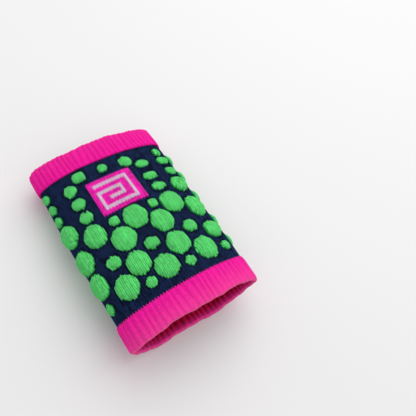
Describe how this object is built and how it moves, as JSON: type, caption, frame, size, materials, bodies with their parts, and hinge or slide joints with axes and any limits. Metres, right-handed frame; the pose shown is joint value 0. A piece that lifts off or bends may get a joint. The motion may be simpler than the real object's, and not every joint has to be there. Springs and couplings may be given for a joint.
{
  "type": "sweat wristband",
  "caption": "Knitted tubular sweat wristband with folded ribbed cuffs, raised padded dots and a plain squared spiral on a square.",
  "frame": {"origin": "under the middle of the band, on the surface that its back lies on", "axes": "+Y along the tube towards its narrower open end, +Z out of the patterned front, +X across the front to the right when +Y points away"},
  "size_m": [0.07, 0.1, 0.0358],
  "materials": {
    "navy_knit": "matt jersey knit in navy polyamide yarn",
    "pink_knit": "matt ribbed knit in bright pink polyamide yarn",
    "green_knit": "matt puffed knit in bright green polyamide yarn",
    "grey_knit": "matt flat knit in light grey yarn",
    "elastic_yarn": "satin covered elastic yarn"
  },
  "bodies": {
    "root": {"body_tube": "navy_knit", "near_cuff": "pink_knit", "far_cuff": "pink_knit", "near_cuff_elastic": "elastic_yarn", "far_cuff_elastic": "elastic_yarn", "front_dot_01": "green_knit", "front_dot_02": "green_knit", "front_dot_03": "green_knit", "front_dot_04": "green_knit", "front_dot_05": "green_knit", "front_dot_06": "green_knit", "front_dot_07": "green_knit", "front_dot_08": "green_knit", "front_dot_09": "green_knit", "front_dot_10": "green_knit", "front_dot_11": "green_knit", "front_dot_12": "green_knit", "front_dot_13": "green_knit", "front_dot_14": "green_knit", "front_dot_15": "green_knit", "front_dot_16": "green_knit", "front_dot_17": "green_knit", "front_dot_18": "green_knit", "front_dot_19": "green_knit", "front_dot_20": "green_knit", "front_dot_21": "green_knit", "front_dot_22": "green_knit", "front_dot_23": "green_knit", "front_dot_24": "green_knit", "front_dot_25": "green_knit", "front_dot_26": "green_knit", "front_dot_27": "green_knit", "front_dot_28": "green_knit", "front_dot_29": "green_knit", "front_dot_30": "green_knit", "side_dot_01": "green_knit", "side_dot_02": "green_knit", "side_dot_03": "green_knit", "side_dot_04": "green_knit", "side_dot_05": "green_knit", "back_dot_01": "green_knit", "back_dot_02": "green_knit", "back_dot_03": "green_knit", "back_dot_04": "green_knit", "back_dot_05": "green_knit", "back_dot_06": "green_knit", "back_dot_07": "green_knit", "back_dot_08": "green_knit", "back_dot_09": "green_knit", "back_dot_10": "green_knit", "back_dot_11": "green_knit", "back_dot_12": "green_knit", "front_square": "pink_knit", "square_emblem": "grey_knit", "pink_stripe": "pink_knit", "green_stripe": "green_knit", "back_meander_1": "grey_knit", "back_meander_2": "grey_knit"}
  },
  "joints": []
}
